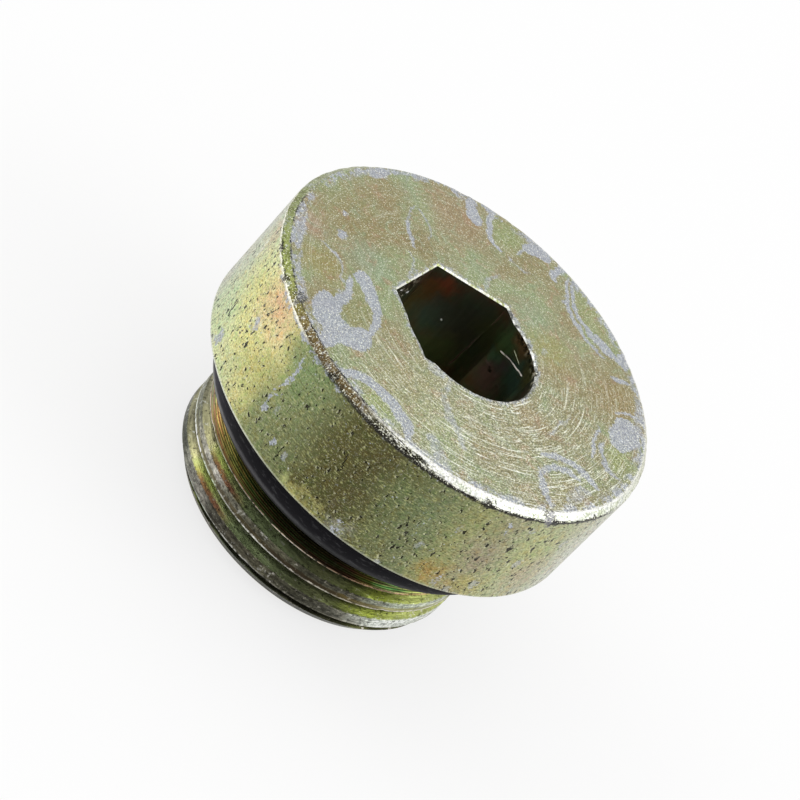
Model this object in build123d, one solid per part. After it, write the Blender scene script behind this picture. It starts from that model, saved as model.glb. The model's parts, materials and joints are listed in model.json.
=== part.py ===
from build123d import *
import os
from math import radians, sqrt, tan

# Oil plug: a turned, plated steel plug with a hex socket in its head, and the rubber ring that seals it.
# Millimetres. The origin is the centre of the thread's end face, and +Z leaves through the head.

# Head
head_diameter = 24.0
head_height = 7.1
head_top_chamfer = 0.37
head_lower_break = 0.15        # the small edge break round the head's underside

# Shank, from the head's underside down
shank_length = 8.5
neck_diameter = 15.7
neck_length = 3.1              # the plain cylinder that carries the ring
neck_corner = 0.25             # the sloped corner left between the neck and the head
shoulder_slope = 45.0          # degrees, the lead from the neck out to the thread
tip_diameter = 16.5            # the end face, inside the lead chamfer
tip_chamfer_length = 1.0

# Thread: right-handed, one start, with broad crests
thread_diameter = 18.0
thread_pitch = 1.5
groove_width = 0.80            # across the groove's mouth, at the crests
groove_depth = 0.60
groove_angle = 60.0
groove_start_drop = 0.77       # how far under the end face the groove starts, at the -Y side
groove_run_out = 0.30          # how far the cut goes on into the open neck

# Hex socket: a drilled hole, broached to a hexagon a little off its centre
hex_across_flats = 8.0
hex_depth = 7.5
hex_turn = 22.0                # degrees, one corner measured from +X
hex_shift = -0.31              # along X, off the plug's axis
drill_diameter = 8.4
drill_extra_depth = 0.8        # full-size drilling below the hexagon
drill_point_angle = 118.0
drill_shift_x = 0.07
drill_shift_y = -0.17
socket_edge_break = 0.08

# Seal ring
ring_section = 2.65
ring_neck_clearance = 0.05
ring_head_clearance = 0.19

# What follows from them
total_length = shank_length + head_height
head_r = head_diameter / 2
thread_r = thread_diameter / 2
neck_r = neck_diameter / 2
tip_r = tip_diameter / 2
shoulder_top = shank_length - neck_length
shoulder_bottom = shoulder_top - (thread_r - neck_r) / tan(radians(shoulder_slope))


def head_and_neck():
    """The lathe's work above the thread: the head, and the neck that the ring sits on."""
    outline = Polyline(
        (0, shoulder_top),
        (neck_r, shoulder_top),
        (neck_r, shank_length - neck_corner),
        (neck_r + neck_corner, shank_length),
        (head_r - head_lower_break, shank_length),
        (head_r, shank_length + head_lower_break),
        (head_r, total_length - head_top_chamfer),
        (head_r - head_top_chamfer, total_length),
        (0, total_length),
        close=True,
    )
    return revolve(Plane.XZ * make_face(outline), Axis.Z)


def thread_groove():
    """The V groove that winds up the shank, as a solid to cut away."""
    root_r = thread_r - groove_depth
    slope = tan(radians(groove_angle / 2))
    overshoot = groove_depth              # the cutter stands out past the crests
    root_half = groove_width / 2 - groove_depth * slope
    mouth_half = groove_width / 2 + overshoot * slope
    rise = groove_start_drop + shoulder_top + groove_run_out
    helix = Helix(thread_pitch, rise, root_r)
    section_plane = Plane(origin=helix @ 0, x_dir=(1, 0, 0), z_dir=helix % 0)
    section = make_face(Polyline(
        (0, -root_half),
        (groove_depth + overshoot, -mouth_half),
        (groove_depth + overshoot, mouth_half),
        (0, root_half),
        close=True,
    ))
    cutter = sweep(section_plane * section, path=helix, is_frenet=True)
    return Pos(0, 0, -groove_start_drop) * Rot(0, 0, -90) * cutter


def hexagon(across_flats):
    return RegularPolygon(across_flats / sqrt(3), 6, rotation=hex_turn)


def socket():
    """The drilled hole with its cone, and the broached hexagon, as one solid to cut away."""
    drill_r = drill_diameter / 2
    drill_depth = hex_depth + drill_extra_depth
    point_length = drill_r / tan(radians(drill_point_angle / 2))
    drill_outline = Polyline(
        (0, 0),
        (drill_r + socket_edge_break, 0),
        (drill_r, -socket_edge_break),
        (drill_r, -drill_depth),
        (0, -drill_depth - point_length),
        close=True,
    )
    drilling = revolve(Plane.XZ * make_face(drill_outline), Axis.Z)
    broaching = extrude(hexagon(hex_across_flats), -hex_depth)
    mouth = extrude(hexagon(hex_across_flats + 2 * socket_edge_break), -socket_edge_break, taper=45)
    hole = Pos(drill_shift_x, drill_shift_y, 0) * drilling + Pos(hex_shift, 0, 0) * (broaching + mouth)
    return Pos(0, 0, total_length) * hole


def threaded_end():
    """A rod with the groove wound round it, then turned to its lead chamfers at both ends."""
    rod = Cylinder(thread_r, shoulder_top, align=(Align.CENTER, Align.CENTER, Align.MIN))
    outline = Polyline(
        (0, 0),
        (tip_r, 0),
        (thread_r, tip_chamfer_length),
        (thread_r, shoulder_bottom),
        (neck_r, shoulder_top),
        (0, shoulder_top),
        close=True,
    )
    return (rod - thread_groove()) & revolve(Plane.XZ * make_face(outline), Axis.Z)


def plug_body():
    return head_and_neck() + threaded_end() - socket()


def o_ring():
    section_r = ring_section / 2
    centre_r = neck_r + ring_neck_clearance + section_r
    centre_z = shank_length - ring_head_clearance - section_r
    return Pos(0, 0, centre_z) * Torus(centre_r, section_r)


os.makedirs("parts", exist_ok=True)
export_step(plug_body(), "parts/plug_body.step")
export_step(o_ring(), "parts/o_ring.step")
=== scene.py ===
import json
import math
from functools import partial
import bpy
import numpy as np
from mathutils import Matrix, Vector

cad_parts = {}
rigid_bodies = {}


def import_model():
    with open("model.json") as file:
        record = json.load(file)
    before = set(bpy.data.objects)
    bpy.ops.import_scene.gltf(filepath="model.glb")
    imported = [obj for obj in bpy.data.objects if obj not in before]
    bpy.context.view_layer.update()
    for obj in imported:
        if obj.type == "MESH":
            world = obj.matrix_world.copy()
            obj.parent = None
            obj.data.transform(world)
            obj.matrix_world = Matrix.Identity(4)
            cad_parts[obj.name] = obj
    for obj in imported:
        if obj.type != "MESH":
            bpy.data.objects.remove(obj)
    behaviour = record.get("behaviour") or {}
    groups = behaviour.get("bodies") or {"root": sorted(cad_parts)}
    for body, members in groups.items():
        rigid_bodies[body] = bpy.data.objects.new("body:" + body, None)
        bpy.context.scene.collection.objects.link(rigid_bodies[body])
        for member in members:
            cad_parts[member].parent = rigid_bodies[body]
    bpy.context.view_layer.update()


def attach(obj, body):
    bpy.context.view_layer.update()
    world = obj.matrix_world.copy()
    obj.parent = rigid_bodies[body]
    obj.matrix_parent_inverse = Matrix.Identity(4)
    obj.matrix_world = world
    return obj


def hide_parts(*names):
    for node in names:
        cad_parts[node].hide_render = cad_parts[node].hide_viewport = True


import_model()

mm = 0.001


# helpers

def linearColour(hexValue):
    channels = [int(hexValue[i:i + 2], 16) / 255 for i in (1, 3, 5)]
    return tuple(c / 12.92 if c <= 0.04045 else ((c + 0.055) / 1.055) ** 2.4 for c in channels) + (1.0,)


def addNode(tree, kind, inputs=(), out=0, **settings):     # a kind may end in its operation: "Math ADD"
    kind, *operation = kind.split()
    node = tree.nodes.new("ShaderNode" + kind)
    if operation:
        node.operation = operation[0]
    for name, value in settings.items():
        if name == "stops":
            ramp = node.color_ramp.elements
            while len(ramp) < len(value):
                ramp.new(0.5)
            for element, (position, colour) in zip(ramp, value):
                element.position = position
                element.color = linearColour(colour)
        else:
            setattr(node, name, value)
    for name, value in (inputs.items() if isinstance(inputs, dict) else enumerate(inputs)):
        if isinstance(value, bpy.types.NodeSocket):
            tree.links.new(value, node.inputs[name])
        else:
            node.inputs[name].default_value = linearColour(value) if isinstance(value, str) else value
    return node.outputs[out] if node.outputs else None


def addLayer(add, under, over, value, start, full, most=1.0):    # a colour that sets in from start to full
    mask = add("MapRange", [value, start, full, 0.0, most])
    return add("Mix", {0: mask, 6: under, 7: over}, out=2, data_type="RGBA")


def addBand(add, value, middle, *fade):     # a stripe where a value lies near its middle
    away = add("Math SUBTRACT", [value, middle])
    away = add("Math ABSOLUTE", [away])
    return add("MapRange", [away, *fade])


def addSegmentGap(add, point, start, end):  # how far a point is from a line between two points
    step = [b - a for a, b in zip(start, end)]
    length = math.hypot(*step)
    step = [part / length for part in step]
    away = add("VectorMath SUBTRACT", [point, start])
    along = add("VectorMath DOT_PRODUCT", [away, step], out=1)
    along = add("Math MAXIMUM", [along, 0.0])
    along = add("Math MINIMUM", [along, length])
    foot = add("VectorMath SCALE", {0: step, 3: along})
    return add("VectorMath DISTANCE", [away, foot], out=1)


def addSweep(add, around, stretch, along, density):     # a place for noise drawn out along the turn
    swept = add("VectorMath SCALE", {0: around, 3: stretch})
    lift = add("Math MULTIPLY", [along, density])
    lift = add("CombineXYZ", {2: lift})
    return add("VectorMath ADD", [swept, lift])


def addSurface(add, colour, metal, roughness, height, strength, distance):
    relief = add("Bump", {"Strength": strength, "Distance": distance, "Height": height})
    surface = add("BsdfPrincipled", {"Base Color": colour, "Metallic": metal, "Roughness": roughness,
                                     "Normal": relief})
    add("OutputMaterial", {"Surface": surface})
    return surface.node


def byBearing(stops):            # ramp stops from colours by degrees, -180 to 180 from the front
    return [((degrees + 180) / 360, colour) for degrees, colour in stops]


def deselectAll():
    for item in bpy.context.view_layer.objects:
        item.select_set(False)


# plug body

plug = {
    "segments": 480,
    "headRadius": 12.0,
    "headTop": 15.6,
    "headUnderside": 8.44,
    "topChamfer": 0.37,
    "lowerBreak": 0.05,
    "neckRadius": 7.85,
    "neckCorner": 0.25,
    "shoulderTop": 5.4,
    "threadTop": 4.25,
    "threadRadius": 9.0,
    "tipRadius": 8.25,
    "tipChamfer": 1.0,
    "pitch": 1.5,
    "threadAngle": 60.0,
    "grooveWidth": 0.80,
    "grooveDepth": 0.60,
    "grooveCentre": 3.65,
    "hexApothem": 4.0,
    "hexCentre": (-0.31, 0.0),
    "hexTurn": 22.0,
    "hexFloor": 8.1,
    "drillRadius": 4.2,
    "drillCentre": (0.07, -0.17),
    "drillFloor": 7.3,
    "drillPoint": 59.0,
    "mouthBreak": 0.08,
    "mouthRing": 4.6,            # rings that are moved out to the socket contour afterwards
    "wallRing": 4.5,
    "socketReach": 5.2,
}


def contourRadius(angle, grow):
    ux = np.cos(angle)
    uy = np.sin(angle)
    hexX, hexY = plug["hexCentre"]
    best = np.full(angle.shape, 99.0)
    for side in range(6):
        turn = math.radians(plug["hexTurn"] + 30 + 60 * side)
        toward = ux * math.cos(turn) + uy * math.sin(turn)
        reach = plug["hexApothem"] + grow + hexX * math.cos(turn) + hexY * math.sin(turn)
        best = np.where(toward > 1e-6, np.minimum(best, reach / np.maximum(toward, 1e-6)), best)
    drillX, drillY = plug["drillCentre"]
    along = ux * drillX + uy * drillY
    inside = along ** 2 - drillX ** 2 - drillY ** 2 + (plug["drillRadius"] + grow) ** 2
    return np.maximum(best, along + np.sqrt(inside))


def buildPlugBody():
    p = plug
    tipZ = p["drillFloor"] - p["drillRadius"] / math.tan(math.radians(p["drillPoint"]))
    topInner = p["headRadius"] - p["topChamfer"]
    stations = [           # radius, height, rings on the way there
        (p["tipRadius"], 0.0, 6),
        (p["threadRadius"], p["tipChamfer"], 20),
        (p["threadRadius"], p["threadTop"], 65),
        (p["neckRadius"], p["shoulderTop"], 23),
        (p["neckRadius"], p["headUnderside"] - p["neckCorner"], 4),
        (p["neckRadius"] + p["neckCorner"], p["headUnderside"], 2),
        (p["headRadius"] - p["lowerBreak"], p["headUnderside"], 5),
        (p["headRadius"], p["headUnderside"] + p["lowerBreak"], 2),
        (p["headRadius"], p["headTop"] - p["topChamfer"], 18),
        (topInner, p["headTop"], 7),
        (p["mouthRing"], p["headTop"], 14),
        (p["wallRing"], p["headTop"] - p["mouthBreak"], 2),
        (p["wallRing"], p["hexFloor"], 8),
        (p["drillRadius"] - 0.03, p["hexFloor"], 1),
        (p["drillRadius"] - 0.03, p["drillFloor"], 2),
        (0.0, tipZ, 5),
    ]
    bpy.ops.mesh.primitive_plane_add(size=0.001, location=(0, 0, 0))
    body = bpy.context.object
    body.name = "plugBody"
    bpy.ops.object.mode_set(mode="EDIT")
    bpy.ops.mesh.merge(type="CENTER")
    lastRadius, lastHeight = 0.0, 0.0
    for radius, height, rings in stations:
        step = ((radius - lastRadius) / rings * mm, 0, (height - lastHeight) / rings * mm)
        for count in range(rings):
            bpy.ops.mesh.extrude_vertices_move(TRANSFORM_OT_translate={"value": step})
        lastRadius, lastHeight = radius, height
    bpy.ops.mesh.select_all(action="SELECT")
    bpy.ops.mesh.spin(steps=p["segments"], angle=math.tau, center=(0, 0, 0), axis=(0, 0, 1))
    bpy.ops.mesh.select_all(action="SELECT")
    bpy.ops.mesh.remove_doubles(threshold=0.002 * mm)
    bpy.ops.mesh.normals_make_consistent(inside=False)
    bpy.ops.object.mode_set(mode="OBJECT")
    return body


def shapePlugBody(body):
    p = plug
    mesh = body.data
    points = np.empty(len(mesh.vertices) * 3)
    mesh.vertices.foreach_get("co", points)
    points = points.reshape(-1, 3) / mm
    x, y, z = points[:, 0], points[:, 1], points[:, 2]
    radius = np.hypot(x, y)
    angle = np.arctan2(y, x)

    # thread
    shank = (z < p["shoulderTop"] - 0.01) & (radius > p["neckRadius"] + 0.01) & (z > 0.01)
    halfMouth = p["grooveWidth"] / 2
    slope = math.tan(math.radians(p["threadAngle"] / 2))
    halfRoot = halfMouth - p["grooveDepth"] * slope
    phase = p["grooveCentre"] + p["pitch"] * (angle + math.pi / 2) / math.tau
    height = z.copy()
    reachUp = 0.0251         # half the distance between rings
    for turn in range(-4, 4):
        for edge in (-halfMouth, -halfRoot, halfRoot, halfMouth):
            place = phase + turn * p["pitch"] + edge
            near = shank & (np.abs(height - place) <= reachUp)
            near = near & (place > 0.03) & (place < p["shoulderTop"] - 0.03)
            z[near] = place[near]
    offset = (z - phase + p["pitch"] / 2) % p["pitch"] - p["pitch"] / 2
    depth = np.clip((halfMouth - np.abs(offset)) / slope, 0, p["grooveDepth"])
    blank = np.full(z.shape, p["threadRadius"])
    blank = np.where(z < p["tipChamfer"],
                     p["tipRadius"] + (p["threadRadius"] - p["tipRadius"]) * z / p["tipChamfer"], blank)
    blank = np.where(z > p["threadTop"], p["threadRadius"] - (z - p["threadTop"]), blank)
    cut = np.minimum(blank, p["threadRadius"] - depth)
    radius = np.where(shank, cut, radius)

    # socket
    wall = (radius < p["mouthRing"] + 0.01) & (z > p["hexFloor"] - 0.01) & (radius > p["wallRing"] - 0.1)
    grow = np.where(z > p["headTop"] - 0.001, p["mouthBreak"],
                    np.maximum(0, z - (p["headTop"] - p["mouthBreak"])))
    drillX, drillY = p["drillCentre"]
    fine = np.linspace(-math.pi, math.pi, 7201)
    profile = contourRadius(fine, 0.0)
    px, py = profile * np.cos(fine), profile * np.sin(fine)
    heading = np.unwrap(np.arctan2(np.diff(py), np.diff(px)))
    bend = np.abs(heading[8:] - heading[:-8])
    corners = []
    for i in range(8, len(bend) - 8):
        if bend[i] > 0.15 and bend[i] == bend[i - 8:i + 9].max():
            corners.append(fine[i + 4])
    kept = []
    for corner in corners:
        if not kept or corner - kept[-1] > 0.02:
            kept.append(corner)
    print("socket corners (deg):", [round(math.degrees(c), 1) for c in kept])
    column = math.tau / p["segments"]
    for corner in kept:
        near = wall & (np.abs((angle - corner + math.pi) % math.tau - math.pi) <= column * 0.5001)
        angle[near] = corner
    contour = contourRadius(angle, 0.0)
    grown = contourRadius(angle, p["mouthBreak"])
    share = grow / p["mouthBreak"]
    radius = np.where(wall, contour + (grown - contour) * share, radius)

    # flat top between the mouth and the rim
    topInner = p["headRadius"] - p["topChamfer"]
    top = (z > p["headTop"] - 0.001) & (radius > p["mouthRing"] + 0.01) & (radius < topInner - 0.001) & ~wall
    share = (radius - p["mouthRing"]) / (topInner - p["mouthRing"])
    radius = np.where(top, grown + (topInner - grown) * share, radius)
    x = radius * np.cos(angle)
    y = radius * np.sin(angle)

    # drilled bottom round its own centre
    inHole = (z > p["threadTop"]) & (z < p["hexFloor"] + 0.01)
    drilled = inHole & (np.hypot(points[:, 0], points[:, 1]) < p["drillRadius"] - 0.01)
    x = np.where(drilled, x + drillX, x)
    y = np.where(drilled, y + drillY, y)

    # dents along the rim and small notches in the thread crests
    chance = np.random.default_rng(11)
    rim = (z > p["headTop"] - p["topChamfer"] - 0.001) & (radius > topInner - 0.01)
    dent = np.zeros(z.shape)
    for count, width, depth in ((150, 0.9, 0.022), (60, 1.6, 0.04), (14, 2.4, 0.07)):
        for middle, share in zip(chance.uniform(-math.pi, math.pi, count), chance.uniform(0.3, 1.0, count)):
            away = np.degrees(np.abs((angle - middle + math.pi) % math.tau - math.pi)) / width
            dent = np.maximum(dent, depth * share * np.clip(1 - away ** 2, 0, 1))
    outer = np.clip((p["headTop"] - z) / p["topChamfer"], 0, 1)
    uneven = np.sin(angle * 5 + 1.0) > -0.2
    dent = dent * np.where(uneven, outer, np.maximum(outer * 0.6, 1 - 1.4 * outer))
    x = np.where(rim, x - dent * 0.7 * np.cos(angle), x)
    y = np.where(rim, y - dent * 0.7 * np.sin(angle), y)
    z = np.where(rim, z - dent * 0.7, z)
    crest = (points[:, 2] < p["threadTop"]) & (z > 0.3) & (radius > p["threadRadius"] - 0.02)
    nick = {"count": 60, "degrees": 1.8, "height": 0.16, "depth": 0.06}
    for middle, place in zip(chance.uniform(-math.pi, math.pi, nick["count"]),
                             chance.uniform(0.9, 4.3, nick["count"])):
        away = (np.degrees((angle - middle + math.pi) % math.tau - math.pi) / nick["degrees"]) ** 2
        away = away + ((z - place) / nick["height"]) ** 2
        notch = np.where(crest, nick["depth"] * np.clip(1 - away, 0, 1), 0)
        x = x - notch * np.cos(angle)
        y = y - notch * np.sin(angle)

    points = np.stack([x, y, z], axis=1) * mm
    mesh.vertices.foreach_set("co", points.ravel())
    mesh.update()


deselectAll()
plugBody = buildPlugBody()
shapePlugBody(plugBody)
print("plug body:", len(plugBody.data.polygons), "faces")
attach(plugBody, "root")
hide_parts("plug_body")


# seal ring

ring = {"radius": 9.225, "section": 1.325, "height": 6.985, "tilt": (0.45, -0.5), "around": 288, "across": 48}

deselectAll()
bpy.ops.mesh.primitive_torus_add(
    major_radius=ring["radius"] * mm, minor_radius=ring["section"] * mm,
    major_segments=ring["around"], minor_segments=ring["across"],
    location=(0, 0, ring["height"] * mm))
sealRing = bpy.context.object
sealRing.name = "sealRing"
sealRing.rotation_euler = (*(math.radians(tilt) for tilt in ring["tilt"]), 0)
bpy.ops.object.transform_apply(location=True, rotation=True, scale=True)
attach(sealRing, "root")
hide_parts("o_ring")
print("seal ring:", len(sealRing.data.polygons), "faces")


# materials

def newMaterial(name):
    material = bpy.data.materials.new(name)
    material.use_nodes = True
    material.node_tree.nodes.clear()
    return material, partial(addNode, material.node_tree)


def measurePlace(add):          # where a point of the plug is, in mm and in degrees from the front
    place = add("VectorMath SCALE", {0: add("TexCoord", out="Object"), 3: 1000.0})
    x = add("SeparateXYZ", [place])
    y, z = x.node.outputs[1], x.node.outputs[2]
    flat = add("VectorMath MULTIPLY", [place, (1, 1, 0)])
    radius = add("VectorMath LENGTH", [flat], out=1)
    around = add("VectorMath NORMALIZE", [flat])
    front = add("Math MULTIPLY", [y, -1.0])
    turn = add("Math ARCTAN2", [x, front])
    degrees = add("Math MULTIPLY", [turn, 180 / math.pi])
    return {"place": place, "x": x, "y": y, "z": z, "radius": radius, "around": around, "degrees": degrees}


def buildMarkGroup():            # one worn mark: a crescent along part of a circle
    group = bpy.data.node_groups.new("wornMark", "ShaderNodeTree")
    add = partial(addNode, group)
    sockets = {"Place": "Vector", "Centre": "Vector", "Facing": "Vector", "Radius": "Float",
               "Half Width": "Float", "Reach": "Float", "Strength": "Float", "Others": "Float"}
    for name, kind in sockets.items():
        group.interface.new_socket(name=name, in_out="INPUT", socket_type="NodeSocket" + kind)
    group.interface.new_socket(name="Mask", in_out="OUTPUT", socket_type="NodeSocketFloat")
    given = group.nodes.new("NodeGroupInput").outputs
    arm = add("VectorMath SUBTRACT", [given["Place"], given["Centre"]])
    length = add("VectorMath LENGTH", [arm], out=1)
    along = add("VectorMath DOT_PRODUCT", [arm, given["Facing"]], out=1)
    cosine = add("Math DIVIDE", [along, length])
    inside = add("MapRange", [cosine, given["Reach"], 1.0])
    taper = add("Math POWER", [inside, 0.35])
    width = add("Math MULTIPLY", [taper, given["Half Width"]])
    gap = add("Math SUBTRACT", [length, given["Radius"]])
    gap = add("Math ABSOLUTE", [gap])
    depth = add("Math SUBTRACT", [width, gap])
    edge = add("Math MULTIPLY_ADD", [depth, 5.0, 0.5], use_clamp=True)
    ends = add("Math GREATER_THAN", [inside, 0.001])
    mask = add("Math MULTIPLY", [edge, ends])
    mask = add("Math MULTIPLY", [mask, given["Strength"]])
    mask = add("Math MAXIMUM", [mask, given["Others"]])
    group.links.new(mask, group.nodes.new("NodeGroupOutput").inputs["Mask"])
    return group


def addMarks(add, place, marks, widen, others):
    for x, y, radius, half, facing, spread, strength in marks.values():
        toward = math.radians(facing)
        others = add("Group", {
            "Place": place, "Centre": (x, y, 0), "Facing": (math.cos(toward), math.sin(toward), 0),
            "Radius": radius, "Half Width": half * widen, "Reach": math.cos(math.radians(spread)),
            "Strength": strength, "Others": others}, node_tree=markGroup)
    return others


headFinish = {
    "topFilm": [(0.28, "#8a7e57"), (0.40, "#938b63"), (0.50, "#979671"), (0.60, "#929d72"),
                (0.74, "#98a288")],
    # stretch along the turn, density across it, noise at which a mark sets in and is full, strength
    "toolMarks": [(14.0, 13.0, 0.61, 0.68, 0.8), (5.0, 12.0, 0.60, 0.66, 1.0), (1.8, 10.0, 0.61, 0.67, 0.9)],
    "toolLeast": 0.15,
    "worn": "#adb2bd",
    "wornDark": "#979ca8",
    "sparkle": "#f0f0dc",
    "tracks": "#f4f6e8",
    "pit": "#16150e",
    # colour of the film on the side, by degrees from the front, with a painted reflection: a dark olive band
    # across the front, lighter towards both silhouettes
    "sideFilmAndReflection": [(-180, "#a9ad88"), (-130, "#bdb98c"), (-95, "#c4c4b8"), (-80, "#cbccc0"), (-70, "#cdd3b8"),
                 (-60, "#e0e8ba"), (-50, "#f0eeb6"), (-44, "#f6efb0"), (-38, "#e9e1a6"), (-33, "#c8c584"),
                 (-25, "#8d9468"), (-15, "#757b56"), (-6, "#5b5835"), (5, "#545033"), (14, "#6a6d48"),
                 (24, "#797f5e"), (34, "#97996a"), (45, "#a09c80"), (54, "#b4b88e"), (64, "#bbbc9c"),
                 (76, "#cfcfc2"), (95, "#cfcfca"), (135, "#b3a679"), (180, "#a9ad88")],
    # chamfer colours by degrees from the front: the near white from about 9 to 110 degrees is a painted
    # highlight, weaker in the second colour; darker brown from about -36 to -9
    "chamferFilmAndHighlight": [(-180, "#b4b28e"), (-110, "#9aa07a"), (-80, "#8c9660"), (-55, "#8e9858"),
                    (-44, "#868a50"), (-36, "#7c7046"), (-27, "#6f5e3c"), (-9, "#6f6142"), (1, "#94907c"),
                    (9, "#e6e6dc"), (20, "#fbfbf6"), (50, "#eef1e8"), (80, "#e9ece2"), (110, "#cfcfba"),
                    (180, "#b4b28e")],
    "chamferSecond": [(-180, "#7a7858"), (-60, "#69703c"), (-44, "#5e6236"), (-36, "#5c4c34"),
                      (-26, "#4c4230"), (-9, "#4a4232"), (5, "#8f937c"), (20, "#cbd4bc"), (60, "#bcc8a6"),
                      (100, "#a2a486"), (180, "#7a7858")],
    "chamferTorn": [(-180, "#222222"), (-90, "#333333"), (-46, "#222222"), (-20, "#262626"), (-7, "#888888"),
                    (0, "#ffffff"), (13, "#ffffff"), (22, "#aaaaaa"), (40, "#777777"), (70, "#666666"),
                    (90, "#333333"), (180, "#000000")],
}

filmPatches = {                 # x, y, size in mm, colour, strength
    "brownDisc": (-8.6, 0.5, 2.4, "#93845a", 0.75),
    "brownLow": (-8.6, 4.7, 1.5, "#95845c", 0.7),
    "brownLeft": (-5.1, 7.9, 2.2, "#a0896a", 0.6),
    "brownTop": (8.4, 5.4, 1.9, "#98865a", 0.75),
    "brownHub": (5.1, 3.2, 1.3, "#9b895f", 0.6),
    "brownRight": (5.3, -1.8, 1.1, "#a08a62", 0.6),
    "brownHook": (9.5, -4.2, 1.2, "#a08f66", 0.6),
    "oliveWide": (-0.3, -7.9, 2.6, "#9f9a70", 0.6),
    "tear": (-5.4, -5.9, 1.5, "#8f9062", 0.8),
    "greenRight": (2.4, -7.9, 1.9, "#a2ac80", 0.5),
    "greenLeft": (4.3, 10.0, 1.7, "#969f6c", 0.7),
    "greenLoop": (-2.4, 10.0, 1.3, "#93a26e", 0.7),
    "greenSickle": (-1.0, -10.9, 0.9, "#98a568", 0.8),
    "greenTop": (10.4, 1.2, 1.2, "#9aa468", 0.7),
    "pinkLow": (-10.1, -2.8, 0.9, "#a8907a", 0.7),
    "tealHub": (1.5, 5.6, 1.5, "#94a488", 0.4),
    "tealLow": (-6.8, -1.6, 1.5, "#8fa288", 0.5),
    "goldLow": (-8.3, -4.9, 1.4, "#978f58", 0.75),
    "goldHub": (3.6, 4.4, 1.4, "#a09a5c", 0.6),
}

sidePatches = {                 # degrees from the front, height and size in mm, colour, strength
    "orangeLow": (35, 9.5, 0.8, "#b08a48", 0.8),
    "orangeEdge": (42, 8.9, 0.6, "#a98a52", 0.6),
    "yellowRight": (47, 9.3, 0.9, "#b8ae66", 0.7),
    "yellowFar": (58, 12.5, 1.4, "#b6ba78", 0.6),
    "mauve": (43, 11.6, 0.9, "#a4917f", 0.6),
    "tealFront": (18, 12.6, 1.6, "#718a68", 0.25),
    # the three lip patches are the painted reflection of the floor on the lower edge, at the front
    "lipReflection": (-4, 8.62, 0.55, "#c2bd78", 0.8),
    "lipReflectionLeft": (-9, 8.58, 0.5, "#b9bd80", 0.8),
    "lipReflectionRight": (2, 8.58, 0.5, "#c0b978", 0.8),
    "pinkTop": (-44, 14.3, 1.5, "#e8b292", 0.8),
    "pinkLeft": (-68, 14.7, 0.9, "#d3a98c", 0.5),
    "lilacLip": (9, 9.0, 0.6, "#a3a295", 0.7),
    "goldHigh": (-55, 13.0, 1.8, "#e2dc8c", 0.75),
    "goldMid": (-46, 11.6, 1.6, "#ece89c", 0.8),
    "oliveMid": (-38, 11.0, 1.3, "#c6c47a", 0.6),
    "pinkMid": (-48, 13.4, 0.8, "#e3bc98", 0.5),
    "goldLow": (-41, 10.0, 1.2, "#cfcc88", 0.6),
    "greenLowLeft": (-60, 9.8, 2.0, "#bdd2a6", 0.5),
    "tealLowLeft": (-44, 8.9, 1.2, "#b4cdae", 0.45),
    "greenTop": (-23, 14.0, 1.4, "#7f9a68", 0.5),
    "pinkRight": (62, 10.6, 1.2, "#c0a894", 0.6),
    "whiteDab": (-69, 13.4, 0.4, "#e4e6de", 0.9),
    "whiteDabMid": (-46.5, 12.4, 0.5, "#f4f2ea", 0.8),
}

rimLines = {                    # run: mm outwards from the inner edge; where: strength by degrees
    # the cream lines are painted highlights along the chamfer's edges, partly worn zinc; the dark lines are
    # torn edges
    "creamOuter": {"run": 0.76, "half": 0.07, "gaps": 0.38, "colour": "#f2efe0",
                   "where": [(-180, "#555555"), (-88, "#bbbbbb"), (-70, "#ffffff"), (-36, "#ffffff"),
                             (-26, "#666666"), (-18, "#000000"), (80, "#000000"), (110, "#888888"),
                             (180, "#555555")]},
    "darkOuter": {"run": 0.74, "half": 0.13, "gaps": 0.34, "colour": "#2c2a26",
                  "where": [(-180, "#000000"), (-30, "#000000"), (-20, "#cccccc"), (0, "#ffffff"),
                            (70, "#ffffff"), (84, "#555555"), (100, "#000000"), (180, "#000000")]},
    "creamInner": {"run": 0.03, "half": 0.11, "gaps": 0.34, "colour": "#fafaf4",
                   "where": [(-180, "#777777"), (-40, "#111111"), (-26, "#2a2a2a"), (-8, "#777777"),
                             (4, "#ffffff"), (70, "#ffffff"), (100, "#bbbbbb"), (180, "#777777")]},
    "creamSecond": {"run": -0.28, "half": 0.045, "gaps": 0.46, "colour": "#f4f5ee",
                    "where": [(-180, "#000000"), (-24, "#000000"), (-10, "#666666"), (4, "#dddddd"),
                              (45, "#ffffff"), (70, "#888888"), (90, "#000000"), (180, "#000000")]},
    "darkInner": {"run": -0.01, "half": 0.075, "gaps": 0.45, "colour": "#29292b",
                  "where": [(-180, "#222222"), (-100, "#777777"), (-70, "#ffffff"), (-4, "#ffffff"),
                            (8, "#000000"), (180, "#000000")]},
    "darkSecond": {"run": 0.60, "half": 0.06, "gaps": 0.50, "colour": "#2a2a24",
                   "where": [(-180, "#000000"), (-80, "#999999"), (-60, "#ffffff"), (-4, "#cccccc"),
                             (8, "#000000"), (180, "#000000")]},
}

rimNicks = {                    # degrees from the front, 0 inner to 1 outer edge, size in mm, colour
    "deep": (53, 0.8, 0.50, "#7d7c82"),
    "deepShade": (55, 1.2, 0.34, "#1f1e1a"),
    "deepTop": (51, 0.1, 0.22, "#33322e"),
    "side": (33, 0.9, 0.34, "#2a2924"),
    "far": (70, 1.0, 0.26, "#33322c"),
    "oval": (-42, -0.1, 0.42, "#4a4a4a"),
    "ovalHeart": (-42, -0.1, 0.20, "#8b8c90"),
    "left": (-49, 0.9, 0.26, "#3a382e"),
    "leftPair": (-60, 0.9, 0.24, "#35342c"),
    "front": (-18, 0.8, 0.30, "#2b2a24"),
    "middle": (3, 0.8, 0.28, "#2b2a24"),
}

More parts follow.
